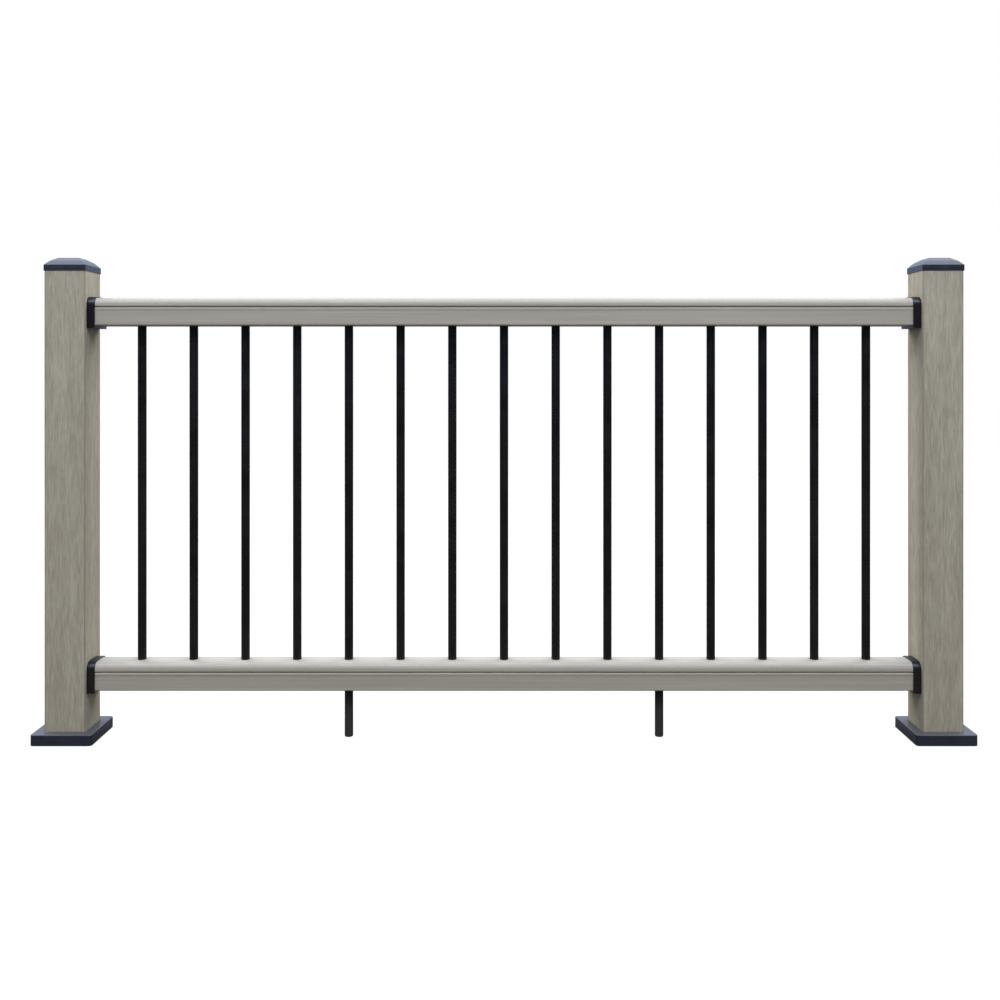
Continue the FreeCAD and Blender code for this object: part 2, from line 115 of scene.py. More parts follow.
def post_middle(side: Side) -> np.ndarray:
    """Find the centre of a post on the deck, from its skirt.

    Args:
        side: End of the section.

    Returns:
        The point, in metres.
    """
    low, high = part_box(f"{side.value}_base_skirt")
    return np.array([(low.x + high.x) / 2, (low.y + high.y) / 2, 0.0])


POST_SPACING = float(post_middle(Side.RIGHT)[0] - post_middle(Side.LEFT)[0])
MIDDLE = float(post_middle(Side.LEFT)[0]) + POST_SPACING / 2


# Node and colour helpers


def linear(code: str) -> tuple[float, float, float, float]:
    """Turn an sRGB hex colour into the linear colour that a shader socket takes.

    Args:
        code: Colour as "#rrggbb".

    Returns:
        Linear red, green and blue, and an alpha of one.
    """
    srgb = np.array([int(code[place:place + 2], 16) for place in (1, 3, 5)]) / 255.0
    low = srgb / 12.92
    high = ((srgb + 0.055) / 1.055) ** 2.4
    red, green, blue = np.where(srgb <= 0.04045, low, high)
    return float(red), float(green), float(blue), 1.0


def add_node(tree: bpy.types.NodeTree, kind: str, inputs: dict[Any, Any] | None = None,
             **settings: Any) -> bpy.types.Node:
    """Add one node, set its properties, and set or link its inputs.

    Args:
        tree: Node tree that the node goes into.
        kind: Blender's type name of the node.
        inputs: Socket name or number, and the value for it or the output to link to it.
        **settings: Properties of the node itself.

    Returns:
        The new node.
    """
    node = tree.nodes.new(kind)
    for name, setting in settings.items():
        setattr(node, name, setting)
    for socket, given in (inputs or {}).items():
        if isinstance(given, bpy.types.NodeSocket):
            tree.links.new(given, node.inputs[socket])
        else:
            node.inputs[socket].default_value = given
    return node


def set_ramp(node: bpy.types.Node, stops: list[tuple[float, str]]) -> None:
    """Give a colour ramp its stops.

    Args:
        node: Colour ramp node.
        stops: Place on the ramp and sRGB hex colour, in rising order.
    """
    elements = node.color_ramp.elements
    while len(elements) < len(stops):
        elements.new(1.0)
    for element, (place, code) in zip(elements, stops):
        element.position = place
        element.color = linear(code)


def new_material(name: str) -> tuple[bpy.types.Material, bpy.types.NodeTree, bpy.types.Node]:
    """Start a material with only its output.

    Args:
        name: Name of the real material and how it was made.

    Returns:
        The material, its node tree and its output node.
    """
    material = bpy.data.materials.new(name)
    material.use_nodes = True
    tree = material.node_tree
    tree.nodes.clear()
    return material, tree, add_node(tree, "ShaderNodeOutputMaterial")


# Finishes


@dataclass(frozen=True)
class EmbossedComposite:
    """Wood-plastic composite, extruded and rolled with a wood grain.

    The skin is a dull grey-brown. The roller leaves long pores and pointed arches of grain, a little
    darker in their valleys, and the wood flour makes the colour drift slowly. The rounded corners of a
    post are darkened with painted shade.
    """

    name: str
    axis: GrainAxis
    dark: str
    middle: str
    light: str
    pore_width: float
    pore_length: float
    arch_width: float
    arch_length: float
    arch_count: float
    arch_share: float
    emboss: float
    roughness: float
    specular: float
    # Painted shade on the posts' rounded corners: where it begins, how dark it gets, and how wide it fades
    # in.
    corner: float = 0.0
    corner_painted_shade: float = 0.0
    corner_fade: float = 2 * MM
    drift_width: float = 35 * MM
    drift_length: float = 420 * MM
    drift_share: float = 0.25
    gloss_spread: float = 0.08
    bump: float = 0.8
    ior: float = 1.49

    def corners(self, tree: bpy.types.NodeTree, coords: bpy.types.NodeSocket) -> bpy.types.NodeSocket:
        """Find the rounded corners of the posts, which get painted shade.

        A point is near a corner where it is far from the post's middle both across and front to back.
        The distance across is a zigzag of the coordinate that repeats from post to post.

        Args:
            tree: Node tree of the material.
            coords: Object coordinates in metres.

        Returns:
            A share of painted shade: nought on the faces, the full one on the corners.
        """
        parts = add_node(tree, "ShaderNodeSeparateXYZ", {0: coords})
        across = add_node(tree, "ShaderNodeMath", {
            0: parts.outputs["X"], 1: POST_SPACING / 2}, operation="PINGPONG").outputs[0]
        deep = add_node(tree, "ShaderNodeMath", {0: parts.outputs["Y"]}, operation="ABSOLUTE").outputs[0]
        nearer = add_node(tree, "ShaderNodeMath", {0: across, 1: deep}, operation="MINIMUM").outputs[0]
        return add_node(tree, "ShaderNodeMapRange", {
            "Value": nearer, "From Min": self.corner, "From Max": self.corner + self.corner_fade,
            "To Max": self.corner_painted_shade}, interpolation_type="SMOOTHSTEP").outputs["Result"]

    def mapping(self, tree: bpy.types.NodeTree, coords: bpy.types.NodeSocket,
                width: float, length: float) -> bpy.types.NodeSocket:
        """Stretch object coordinates so that one unit is a grain figure's width and length.

        Args:
            tree: Node tree of the material.
            coords: Object coordinates in metres.
            width: Figure's width across the grain, in metres.
            length: Figure's length along the grain, in metres.

        Returns:
            The stretched coordinates.
        """
        scale = np.full(3, 1.0 / width)
        scale[self.axis.value] = 1.0 / length
        stretched = add_node(tree, "ShaderNodeMapping", {"Vector": coords, "Scale": tuple(scale)})
        return stretched.outputs["Vector"]

    def material(self) -> bpy.types.Material:
        """Build the node material."""
        material, tree, output = new_material(self.name)
        coords = add_node(tree, "ShaderNodeTexCoord").outputs["Object"]
        pores = add_node(tree, "ShaderNodeTexNoise", {
            "Vector": self.mapping(tree, coords, self.pore_width, self.pore_length),
            "Scale": 1.0, "Detail": 3.0, "Roughness": 0.6}).outputs["Fac"]
        # A slow noise, folded to and fro between nought and one, gives the arches of flat-sawn boards.
        swell = add_node(tree, "ShaderNodeTexNoise", {
            "Vector": self.mapping(tree, coords, self.arch_width, self.arch_length),
            "Scale": 1.0, "Detail": 1.5, "Roughness": 0.45, "Distortion": 0.3}).outputs["Fac"]
        rings = add_node(tree, "ShaderNodeMath", {
            0: swell, 1: 2 * self.arch_count}, operation="MULTIPLY").outputs[0]
        arches = add_node(tree, "ShaderNodeMath", {0: rings, 1: 1.0}, operation="PINGPONG").outputs[0]
        grain = add_node(tree, "ShaderNodeMix", {
            "Factor": self.arch_share, "A": pores, "B": arches}, data_type="FLOAT").outputs["Result"]
        drift = add_node(tree, "ShaderNodeTexNoise", {
            "Vector": self.mapping(tree, coords, self.drift_width, self.drift_length),
            "Scale": 1.0, "Detail": 2.0}).outputs["Fac"]
        tone = add_node(tree, "ShaderNodeMix", {
            "Factor": self.drift_share, "A": grain, "B": drift}, data_type="FLOAT").outputs["Result"]
        ramp = add_node(tree, "ShaderNodeValToRGB", {"Fac": tone})
        set_ramp(ramp, [(0.30, self.dark), (0.50, self.middle), (0.70, self.light)])
        colour = ramp.outputs["Color"]
        if self.corner_painted_shade > 0.0:
            # Painted shade: the posts' rounded corners are mixed towards the dark grain colour.
            colour = add_node(tree, "ShaderNodeMix", {
                0: self.corners(tree, coords), 6: colour, 7: linear(self.dark)},
                data_type="RGBA").outputs[2]
        rough = add_node(tree, "ShaderNodeMapRange", {
            "Value": grain, "To Min": self.roughness + self.gloss_spread,
            "To Max": self.roughness - self.gloss_spread}).outputs["Result"]
        bump = add_node(tree, "ShaderNodeBump", {
            "Height": grain, "Strength": self.bump, "Distance": self.emboss}).outputs["Normal"]
        shader = add_node(tree, "ShaderNodeBsdfPrincipled", {
            "Base Color": colour, "Roughness": rough, "Normal": bump,
            "IOR": self.ior, "Specular IOR Level": self.specular})
        tree.links.new(shader.outputs["BSDF"], output.inputs["Surface"])
        return material


@dataclass(frozen=True)
class MouldedPlastic:
    """Injection-moulded plastic with the fine spark texture of its tool.

    The texture scatters the gloss into an even satin sheen, and a slow drift of gloss keeps the flats
    from looking like one tone. What faces up is lightened towards a grey: a dusting and painted sheen.
    """

    name: str
    colour: str
    worn: str
    grit: float
    grit_height: float
    roughness: float
    ior: float
    specular: float
    cloud: float = 28 * MM
    grit_share: float = 0.35
    bump: float = 0.5
    smoother: float = 0.05
    rougher: float = 0.07
    # Grey of a dusting and painted sheen that lightens what faces up.
    dust: str = "#928d84"
    dust_share: float = 0.0
    dust_start: float = 0.3
    dust_full: float = 0.9

    def dusted(self, tree: bpy.types.NodeTree, colour: bpy.types.NodeSocket) -> bpy.types.NodeSocket:
        """Lighten what faces up with a grey dusting and painted sheen, the more the more level it is.

        Args:
            tree: Node tree of the material.
            colour: Colour of the clean plastic.

        Returns:
            The colour with the dusting and painted sheen.
        """
        normal = add_node(tree, "ShaderNodeNewGeometry").outputs["Normal"]
        upward = add_node(tree, "ShaderNodeSeparateXYZ", {0: normal}).outputs["Z"]
        share = add_node(tree, "ShaderNodeMapRange", {
            "Value": upward, "From Min": self.dust_start, "From Max": self.dust_full,
            "To Max": self.dust_share}, interpolation_type="SMOOTHSTEP").outputs["Result"]
        return add_node(tree, "ShaderNodeMix", {
            0: share, 6: colour, 7: linear(self.dust)}, data_type="RGBA").outputs[2]

    def material(self) -> bpy.types.Material:
        """Build the node material."""
        material, tree, output = new_material(self.name)
        coords = add_node(tree, "ShaderNodeTexCoord").outputs["Object"]
        grit = add_node(tree, "ShaderNodeTexNoise", {
            "Vector": coords, "Scale": 1.0 / self.grit, "Detail": 2.0, "Roughness": 0.6}).outputs["Fac"]
        cloud = add_node(tree, "ShaderNodeTexNoise", {
            "Vector": coords, "Scale": 1.0 / self.cloud, "Detail": 3.0}).outputs["Fac"]
        tone = add_node(tree, "ShaderNodeMix", {
            "Factor": self.grit_share, "A": cloud, "B": grit}, data_type="FLOAT").outputs["Result"]
        ramp = add_node(tree, "ShaderNodeValToRGB", {"Fac": tone})
        set_ramp(ramp, [(0.35, self.colour), (0.70, self.worn)])
        colour = ramp.outputs["Color"]
        if self.dust_share > 0.0:
            # Dusting and painted sheen: what faces up is lightened towards a grey.
            colour = self.dusted(tree, colour)
        rough = add_node(tree, "ShaderNodeMapRange", {
            "Value": tone, "From Min": NOISE_LOW, "From Max": NOISE_HIGH,
            "To Min": self.roughness - self.smoother,
            "To Max": self.roughness + self.rougher}).outputs["Result"]
        bump = add_node(tree, "ShaderNodeBump", {
            "Height": grit, "Strength": self.bump, "Distance": self.grit_height}).outputs["Normal"]
        shader = add_node(tree, "ShaderNodeBsdfPrincipled", {
            "Base Color": colour, "Roughness": rough, "Normal": bump,
            "IOR": self.ior, "Specular IOR Level": self.specular})
        tree.links.new(shader.outputs["BSDF"], output.inputs["Surface"])
        return material


@dataclass(frozen=True)
class PowderCoat:
    """Black polyester powder baked on aluminium tube.

    It flows out into a faint orange peel, which breaks the long highlight of a round tube. A tube that
    stands on the deck gets a grey dusting and painted light at its foot, which fade out with the height.
    """

    name: str = "black powder-coated aluminium"
    colour: str = "#0b0b0c"
    lift: str = "#141415"
    peel: float = 2.2 * MM
    peel_height: float = 0.04 * MM
    drift: float = 60 * MM
    bump: float = 0.4
    roughness: float = 0.34
    smoother: float = 0.05
    rougher: float = 0.06
    ior: float = 1.5
    specular: float = 0.2
    # Grey of a dusting and painted light at the foot of a tube, and the heights where it is full and where
    # it ends.
    dust: str = "#2f2e2d"
    dust_full: float = 55 * MM
    dust_end: float = 0.0

    def dusted(self, tree: bpy.types.NodeTree, coords: bpy.types.NodeSocket,
               colour: bpy.types.NodeSocket) -> bpy.types.NodeSocket:
        """Lay a grey dusting and painted light on a colour: full up to one height, less and less up to
        another.

        Args:
            tree: Node tree of the material.
            coords: Object coordinates in metres.
            colour: Colour of the clean coat.

        Returns:
            The dusty colour.
        """
        height = add_node(tree, "ShaderNodeSeparateXYZ", {0: coords}).outputs["Z"]
        share = add_node(tree, "ShaderNodeMapRange", {
            "Value": height, "From Min": self.dust_full, "From Max": self.dust_end,
            "To Min": 1.0, "To Max": 0.0}, interpolation_type="SMOOTHSTEP").outputs["Result"]
        return add_node(tree, "ShaderNodeMix", {
            0: share, 6: colour, 7: linear(self.dust)}, data_type="RGBA").outputs[2]

    def material(self) -> bpy.types.Material:
        """Build the node material."""
        material, tree, output = new_material(self.name)
        coords = add_node(tree, "ShaderNodeTexCoord").outputs["Object"]
        peel = add_node(tree, "ShaderNodeTexNoise", {
            "Vector": coords, "Scale": 1.0 / self.peel, "Detail": 1.0}).outputs["Fac"]
        drift = add_node(tree, "ShaderNodeTexNoise", {
            "Vector": coords, "Scale": 1.0 / self.drift, "Detail": 2.0}).outputs["Fac"]
        ramp = add_node(tree, "ShaderNodeValToRGB", {"Fac": drift})
        set_ramp(ramp, [(0.35, self.colour), (0.70, self.lift)])
        colour = ramp.outputs["Color"]
        if self.dust_end > 0.0:
            # Dusting and painted light: the lower end of a tube is lightened towards a grey.
            colour = self.dusted(tree, coords, colour)
        rough = add_node(tree, "ShaderNodeMapRange", {
            "Value": drift, "From Min": NOISE_LOW, "From Max": NOISE_HIGH,
            "To Min": self.roughness - self.smoother,
            "To Max": self.roughness + self.rougher}).outputs["Result"]
        bump = add_node(tree, "ShaderNodeBump", {
            "Height": peel, "Strength": self.bump, "Distance": self.peel_height}).outputs["Normal"]
        shader = add_node(tree, "ShaderNodeBsdfPrincipled", {
            "Base Color": colour, "Roughness": rough, "Normal": bump,
            "IOR": self.ior, "Specular IOR Level": self.specular})
        tree.links.new(shader.outputs["BSDF"], output.inputs["Surface"])
        return material


@dataclass(frozen=True)
class GalvanisedSteel:
    """Hot-dip galvanised steel.

    Zinc freezes into spangles, flat crystals of slightly different grey and gloss.
    """

    name: str = "hot-dip galvanised steel"
    dark: str = "#9a9ea1"
    light: str = "#bfc3c5"
    spangle: float = 9 * MM
    smoothest: float = 0.38
    roughest: float = 0.58

    def material(self) -> bpy.types.Material:
        """Build the node material."""
        material, tree, output = new_material(self.name)
        coords = add_node(tree, "ShaderNodeTexCoord").outputs["Object"]
        cells = add_node(tree, "ShaderNodeTexVoronoi", {"Vector": coords, "Scale": 1.0 / self.spangle})
        tone = add_node(tree, "ShaderNodeSeparateColor", {"Color": cells.outputs["Color"]}).outputs["Red"]
        ramp = add_node(tree, "ShaderNodeValToRGB", {"Fac": tone})
        set_ramp(ramp, [(0.0, self.dark), (1.0, self.light)])
        rough = add_node(tree, "ShaderNodeMapRange", {
            "Value": tone, "To Min": self.smoothest, "To Max": self.roughest}).outputs["Result"]
        shader = add_node(tree, "ShaderNodeBsdfPrincipled", {
            "Base Color": ramp.outputs["Color"], "Roughness": rough, "Metallic": 1.0})
        tree.links.new(shader.outputs["BSDF"], output.inputs["Surface"])
        return material


POST_FINISH = EmbossedComposite(
    name="grain-embossed wood-plastic composite", axis=GrainAxis.ALONG_Z,
    dark="#7a7463", middle="#8c8675", light="#9d9786",
    # Real pores are about 1 mm wide; they are drawn wider so that they show.
    pore_width=2.3 * MM, pore_length=28 * MM, arch_width=22 * MM, arch_length=150 * MM,
    arch_count=5.0, arch_share=0.15, emboss=0.25 * MM, roughness=0.66, specular=0.4,
    # The posts' rounded corners are darkened with painted shade.
    corner=41.5 * MM, corner_painted_shade=1.0)
RAIL_FINISH = EmbossedComposite(
    name="brushed wood-plastic composite", axis=GrainAxis.ALONG_X,
    dark="#868175", middle="#8e897c", light="#979285",
    # Brush lines are under 1 mm wide; they are drawn wider so that they show.
    pore_width=3.0 * MM, pore_length=420 * MM, arch_width=30 * MM, arch_length=1500 * MM,
    arch_count=3.0, arch_share=0.12, emboss=0.04 * MM, roughness=0.5, specular=0.5)
TRIM_FINISH = MouldedPlastic(
    name="moulded charcoal ASA", colour="#1a1f28", worn="#222833", grit=1.6 * MM,
    # The tops of caps and skirts are lightened by a dusting and painted sheen.
    grit_height=0.05 * MM, roughness=0.34, ior=1.52, specular=0.34, dust_share=0.18)
BRACKET_FINISH = MouldedPlastic(
    name="moulded black glass-filled nylon", colour="#030304", worn="#08080a", grit=1.2 * MM,
    grit_height=0.05 * MM, roughness=0.32, ior=1.53, specular=0.4)
TUBE_FINISH = PowderCoat()
# The feet's lower ends are lightened by a dusting and painted light.
FOOT_FINISH = PowderCoat(name="dusty black powder-coated aluminium", dust_end=105 * MM)
STEEL_FINISH = GalvanisedSteel()


# Surfaces


def rounded_square(half: np.ndarray, radius: np.ndarray, steps: int = 8,
                   land: float = 0.4 * MM) -> np.ndarray:
    """Outlines of squares about the origin whose corners are quarter circles.

    Each corner is its quarter circle, with one more point a short way along the flat at either end,
    so that smooth shading bends only there.

    Args:
        half: Half width of each square.
        radius: Corner radius of each square.
        steps: Divisions of a quarter circle.
        land: Distance of the added point from the end of its quarter circle.

    Returns:
        Points of shape (squares, points, 2), anticlockwise.
    """
    turn = np.linspace(0.0, math.pi / 2, steps + 1)
    unit = np.stack([np.cos(turn), np.sin(turn)], axis=-1)
    corner = (half - radius)[:, None, None] + radius[:, None, None] * unit
    reach = np.minimum(land, half - radius)[:, None, None]
    before = corner[:, :1] - reach * np.array([0.0, 1.0])
    after = corner[:, -1:] - reach * np.array([1.0, 0.0])
    quarter = np.concatenate([before, corner, after], axis=1)
    x, y = quarter[..., 0], quarter[..., 1]
    quarters = [np.stack(pair, axis=-1) for pair in ((x, y), (-y, x), (-x, -y), (y, -x))]
    return np.concatenate(quarters, axis=1)


def crowned_outline(half: np.ndarray, floor: np.ndarray, top: np.ndarray, crown: np.ndarray,
                    shoulder: np.ndarray, lower: np.ndarray, steps: int = 14) -> np.ndarray:
    """Outlines of a rail: flat floor, upright cheeks, round shoulders and an arched top.

    A shoulder's circle touches the cheek and, from inside, the crown's circle, so its centre lies a
    shoulder radius from the cheek and (crown - shoulder) from the crown's centre.

    Args:
        half: Half width of each outline.
        floor: Height of its floor.
        top: Height of its crown.
        crown: Radius of the crown's arch.
        shoulder: Radius of the shoulders.
        lower: Radius of the lower edges.
        steps: Divisions of an arc.

    Returns:
        Points (across, up) of shape (outlines, points, 2), anticlockwise from the lower right edge.
    """
    half, floor, top, crown, shoulder, lower = (
        np.asarray(size)[:, None] for size in (half, floor, top, crown, shoulder, lower))
    share = np.linspace(0.0, 1.0, steps + 1)
    low_turn = (share - 1.0) * math.pi / 2
    low_x = half - lower + lower * np.cos(low_turn)
    low_z = floor + lower + lower * np.sin(low_turn)
    crown_z = top - crown
    shoulder_x = half - shoulder
    shoulder_z = crown_z + np.sqrt((crown - shoulder) ** 2 - shoulder_x ** 2)
    touch = np.arctan2(shoulder_z - crown_z, shoulder_x)
    high_x = shoulder_x + shoulder * np.cos(share * touch)
    high_z = shoulder_z + shoulder * np.sin(share * touch)
    arch_turn = touch + share[1:] * (math.pi / 2 - touch)
    arch_x = crown * np.cos(arch_turn)
    arch_z = crown_z + crown * np.sin(arch_turn)
    x = np.concatenate([low_x, high_x, arch_x], axis=1)
    z = np.concatenate([low_z, high_z, arch_z], axis=1)
    right = np.stack([x, z], axis=-1)
    left = right[:, -2::-1] * np.array([-1.0, 1.0])
    return np.concatenate([right, left], axis=1)


def fillet(start: tuple[float, float], corner: tuple[float, float], end: tuple[float, float],
           radius: float, steps: int = 5) -> np.ndarray:
    """Round one square corner of a section by a quarter circle.

    The quarter circle's points are the corner, moved back along each leg by the radius times one
    minus the sine or the cosine of an angle from 0 to 90 degrees.

    Args:
        start: Any point on the leg that arrives.
        corner: The corner.
        end: Any point on the leg that leaves.
        radius: Radius of the quarter circle.
        steps: Divisions of the quarter circle.

    Returns:
        Points of shape (steps + 1, 2) in the direction of travel.
    """
    turn = np.linspace(0.0, math.pi / 2, steps + 1)[:, None]
    tip = np.array(corner)
    back = np.array(start) - tip
    ahead = np.array(end) - tip
    back = back / np.linalg.norm(back)
    ahead = ahead / np.linalg.norm(ahead)
    return tip + radius * (1 - np.sin(turn)) * back + radius * (1 - np.cos(turn)) * ahead


def loft(name: str, rings: np.ndarray, closed: bool, material: bpy.types.Material,
         node: str) -> bpy.types.Object:
    """Join a stack of rings into one closed surface that stands for a CAD node.

    Neighbouring rings are joined by four-sided faces. A closed stack joins its last ring to its first
    one, and an open one gets a flat face over either end.

    Args:
        name: Name of the piece.
        rings: Points of shape (rings, points, 3), anticlockwise about the direction of travel.
        closed: Whether the last ring joins the first one.
        material: Finish of the piece.
        node: CAD node that the piece stands for.

    Returns:
        The new object.
    """
    count, around = rings.shape[:2]
    grid = np.arange(count * around).reshape(count, around)
    ahead = np.roll(grid, -1, axis=0) if closed else grid[1:]
    here = grid if closed else grid[:-1]
    quads = np.stack([here, np.roll(here, -1, axis=1), np.roll(ahead, -1, axis=1), ahead], axis=-1)
    loops = [quads.reshape(-1)]
    sizes = [np.full(quads.size // 4, 4)]
    if not closed:
        loops += [grid[0, ::-1], grid[-1]]
        sizes.append(np.full(2, around))
    corners = np.concatenate(loops).astype(np.int32)
    totals = np.concatenate(sizes)
    starts = (np.cumsum(totals) - totals).astype(np.int32)
    mesh = bpy.data.meshes.new(name)
    mesh.vertices.add(count * around)
    mesh.vertices.foreach_set("co", rings.reshape(-1).astype(np.float32))
    mesh.loops.add(len(corners))
    mesh.loops.foreach_set("vertex_index", corners)
    mesh.polygons.add(len(starts))
    mesh.polygons.foreach_set("loop_start", starts)
    mesh.update(calc_edges=True)
    mesh.validate()
    mesh.shade_smooth()
    mesh.set_sharp_from_angle(angle=SHARP_ANGLE)
    mesh.materials.append(material)
    piece = bpy.data.objects.new(name, mesh)
    bpy.context.scene.collection.objects.link(piece)
    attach(piece, BODY)
    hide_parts(node)
    LOG.info("%s: %d faces", name, len(starts))
    return piece


def dress_node(node: str, material: bpy.types.Material) -> None:
    """Give a CAD node its finish.

    Args:
        node: Name of the node.
        material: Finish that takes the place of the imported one.
    """
    for place in frame["nodes"][node].material_slots:
        place.material = material
    LOG.info("%s: %s", node, material.name)


# Sub-assemblies. A land is the distance from an edge's tip to the flat's first point past the rounding.


@dataclass
class Finishes:
    """Materials of the section, each made once."""

    post: bpy.types.Material
    rail: bpy.types.Material
    trim: bpy.types.Material
    bracket: bpy.types.Material
    tube: bpy.types.Material
    foot: bpy.types.Material
    steel: bpy.types.Material


@dataclass
class Post:
    """One post: the sleeve, core and plate of the frame, with a moulded cap and skirt."""

    side: Side
    cap_corner: float = 1.6 * MM
    cap_eave: float = 1.4 * MM
    cap_shell: float = 4.0 * MM
    cap_fascia: float = 13.5 * MM
    cap_plateau: float = 23.5 * MM
    cap_swell: float = 1.3 * MM
    cap_edge: float = 0.5 * MM
    eave_steps: int = 6
    slope_steps: int = 8
    spigot_half: float = 35.6 * MM
    spigot_wall: float = 2.5 * MM
    skirt_corner: float = 7.0 * MM
    skirt_edge: float = 2.2 * MM
    skirt_land: float = 2.86 * MM
    edge_steps: int = 6
    skirt_ease: float = 0.4 * MM
    skirt_wall: float = 3.0 * MM
    skirt_hole: float = 45.4 * MM
    sleeve_corner: float = 4.0 * MM

    def stack(self, table: np.ndarray) -> np.ndarray:
        """Rings of a piece that goes square round the post.

        Args:
            table: Half width, corner radius and height of each ring.

        Returns:
            Points of shape (rings, points, 3).
        """
        flat = rounded_square(table[:, 0], table[:, 1])
        height = np.broadcast_to(table[:, 2, None, None], flat.shape[:2] + (1,))
        return np.concatenate([flat, height], axis=-1) + post_middle(self.side)

    def cap(self, material: bpy.types.Material) -> bpy.types.Object:
        """Cap: a square ring shrinks from the band over the eaves and up the slopes to a flat.

        A slope swells outward by a half wave of a sine along its length, most of all at its middle.

        Args:
            material: Finish of the cap.

        Returns:
            The cap.
        """
        node = f"{self.side.value}_post_cap"
        low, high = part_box(node)
        half = (high.x - low.x) / 2
        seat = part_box(f"{self.side.value}_post_sleeve")[1].z
        eaves = seat + self.cap_fascia
        inner = self.spigot_half - self.spigot_wall
        lean = math.atan2(high.z - eaves, half - self.cap_plateau)
        slope = np.array([-math.cos(lean), math.sin(lean)])
        up = np.array([0.0, 1.0])
        eave = np.array([half, eaves])
        brow = np.array([self.cap_plateau, high.z])
        share = np.linspace(0.0, 1.0, self.eave_steps + 1)[:, None]
        soften = self.cap_eave

        def bend(tip: np.ndarray, back: np.ndarray, ahead: np.ndarray) -> np.ndarray:
            """Curve from one leg to the other: a quadratic curve whose control point is the tip."""
            arrive = (1 - share) ** 2 * (tip - soften * back)
            leave = share ** 2 * (tip + soften * ahead)
            return arrive + 2 * share * (1 - share) * tip + leave

        inward = np.array([-1.0, 0.0])
        start, end = eave + 2 * soften * slope, brow - 2 * soften * slope
        along = np.linspace(0.0, 1.0, self.slope_steps + 1)[:, None]
        out = np.array([slope[1], -slope[0]])
        face = start + along * (end - start) + self.cap_swell * np.sin(math.pi * along) * out
        section = np.concatenate([
            [[self.cap_plateau - self.cap_shell, high.z - self.cap_shell], [inner, eaves], [inner, low.z],
             [self.spigot_half, low.z], [self.spigot_half, seat],
             [half - self.cap_edge, seat], [half, seat + self.cap_edge], [half, seat + 2 * self.cap_edge]],
            bend(eave, up, slope),
            face,
            bend(brow, slope, inward),
            [brow + 3 * soften * inward],
        ])
        radius = np.minimum(self.cap_corner, section[:, 0] / 2)
        table = np.column_stack([section[:, 0], radius, section[:, 1]])
        return loft(f"{self.side.value}_cap", self.stack(table), False, material, node)

    def skirt(self, material: bpy.types.Material) -> bpy.types.Object:
        """Skirt: a square ring runs up the side, over a rounded edge, to the post and back beneath.

        Args:
            material: Finish of the skirt.

        Returns:
            The skirt.
        """
        node = f"{self.side.value}_base_skirt"
        low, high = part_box(node)
        half = (high.x - low.x) / 2
        top = high.z
        edge = fillet((half, low.z), (half, top), (0.0, top), self.skirt_edge, self.edge_steps)
        inner = half - self.skirt_wall
        lip = self.skirt_hole
        ease = self.skirt_ease
        section = np.concatenate([
            [[half - ease, low.z], [half, low.z + ease], [half, low.z + 2.5 * ease],
             [half, top - self.skirt_land]],
            edge,
            [[half - self.skirt_land, top], [lip + 2 * ease, top], [lip + ease, top],
             [lip, top - ease], [lip, top - self.skirt_wall], [inner, top - self.skirt_wall],
             [inner, low.z]],
        ])
        blend = np.clip((section[:, 0] - lip) / (half - lip), 0.0, 1.0)
        radius = self.sleeve_corner + (self.skirt_corner - self.sleeve_corner) * blend
        table = np.column_stack([section[:, 0], radius, section[:, 1]])
        return loft(f"{self.side.value}_skirt", self.stack(table), True, material, node)

    def build(self, finishes: Finishes) -> None:
        """Make the moulded pieces and dress the frame's own ones.

        Args:
            finishes: Materials of the section.
        """
        self.cap(finishes.trim)
        self.skirt(finishes.trim)
        dress_node(f"{self.side.value}_post_sleeve", finishes.post)
        dress_node(f"{self.side.value}_post_core", finishes.steel)
        dress_node(f"{self.side.value}_base_plate", finishes.steel)


